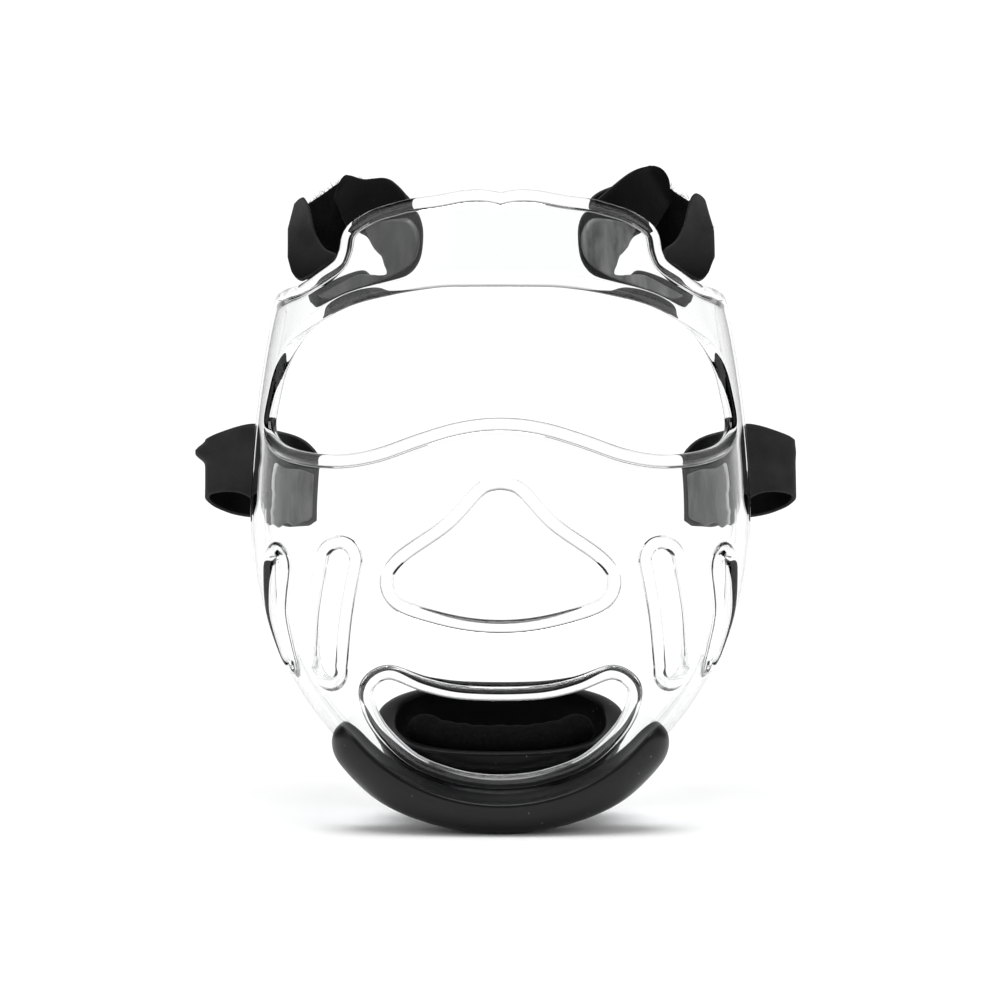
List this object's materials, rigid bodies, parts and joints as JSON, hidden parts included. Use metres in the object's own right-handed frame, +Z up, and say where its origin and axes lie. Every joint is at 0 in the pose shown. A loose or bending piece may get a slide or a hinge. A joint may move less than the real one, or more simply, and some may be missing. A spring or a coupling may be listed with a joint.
{
  "type": "sparring face shield",
  "caption": "Clear moulded face shield with rolled edges and eye, nose, cheek and mouth openings, a foam chin bumper and cup, and hook-and-loop straps for clipping it to sparring headgear.",
  "frame": {"origin": "middle of the part from side to side and from front to back, on the surface it stands on", "axes": "+Z up from the chin to the brow; +Y from the face of the shield to the back of the wearer's head; +X to the wearer's left"},
  "size_m": [0.2348, 0.1386, 0.2456],
  "materials": {
    "clear_plastic": "clear, polished",
    "dipped_foam": "black vinyl-dipped foam, satin",
    "soft_foam": "black foam, matte",
    "strap_tape": "black hook-and-loop tape, smooth woven back and fuzzy pile",
    "adhesive": "clear adhesive, grey over the black tape"
  },
  "bodies": {
    "shield": {"face_shell": "clear_plastic", "chin_bumper": "dipped_foam", "bumper_glue": "adhesive", "chin_cup": "dipped_foam", "cup_glue": "adhesive", "chin_roll": "soft_foam", "left_brow_glue": "adhesive", "left_brow_anchor": "strap_tape", "right_brow_glue": "adhesive", "right_brow_anchor": "strap_tape", "left_temple_glue": "adhesive", "left_temple_anchor": "strap_tape", "right_temple_glue": "adhesive", "right_temple_anchor": "strap_tape"},
    "left_brow_strap": {"left_brow_strap": "strap_tape"},
    "left_brow_tail": {"left_brow_tail": "strap_tape"},
    "right_brow_strap": {"right_brow_strap": "strap_tape"},
    "right_brow_tail": {"right_brow_tail": "strap_tape"},
    "left_temple_strap": {"left_temple_strap": "strap_tape"},
    "left_temple_tail": {"left_temple_tail": "strap_tape"},
    "right_temple_strap": {"right_temple_strap": "strap_tape"},
    "right_temple_tail": {"right_temple_tail": "strap_tape"}
  },
  "joints": [
    {"name": "left_brow_flex", "type": "hinge", "parent": "shield", "child": "left_brow_strap", "pos_m": [0.0345, -0.0185, 0.226], "axis": [0, 0.33, 0.944], "range_deg": [0, 75], "stiffness_Nm_per_rad": 0.05},
    {"name": "left_brow_peel", "type": "hinge", "parent": "left_brow_strap", "child": "left_brow_tail", "pos_m": [0.0822, 0.0111, 0.226], "axis": [0, 0.33, 0.944], "range_deg": [0, 100]},
    {"name": "left_temple_flex", "type": "hinge", "parent": "shield", "child": "left_temple_strap", "pos_m": [0.091, 0.0354, 0.131], "axis": [0, 0.33, 0.944], "range_deg": [-45, 60], "stiffness_Nm_per_rad": 0.04},
    {"name": "left_temple_peel", "type": "hinge", "parent": "left_temple_strap", "child": "left_temple_tail", "pos_m": [0.104, 0.0639, 0.131], "axis": [0, -0.33, -0.944], "range_deg": [0, 80]},
    {"name": "right_brow_flex", "type": "hinge", "parent": "shield", "child": "right_brow_strap", "pos_m": [-0.0345, -0.0185, 0.226], "axis": [0, -0.33, -0.944], "range_deg": [0, 75], "stiffness_Nm_per_rad": 0.05},
    {"name": "right_brow_peel", "type": "hinge", "parent": "right_brow_strap", "child": "right_brow_tail", "pos_m": [-0.0822, 0.0111, 0.226], "axis": [0, -0.33, -0.944], "range_deg": [0, 100]},
    {"name": "right_temple_flex", "type": "hinge", "parent": "shield", "child": "right_temple_strap", "pos_m": [-0.091, 0.0354, 0.131], "axis": [0, -0.33, -0.944], "range_deg": [-45, 60], "stiffness_Nm_per_rad": 0.04},
    {"name": "right_temple_peel", "type": "hinge", "parent": "right_temple_strap", "child": "right_temple_tail", "pos_m": [-0.104, 0.0639, 0.131], "axis": [0, 0.33, 0.944], "range_deg": [0, 80]}
  ]
}
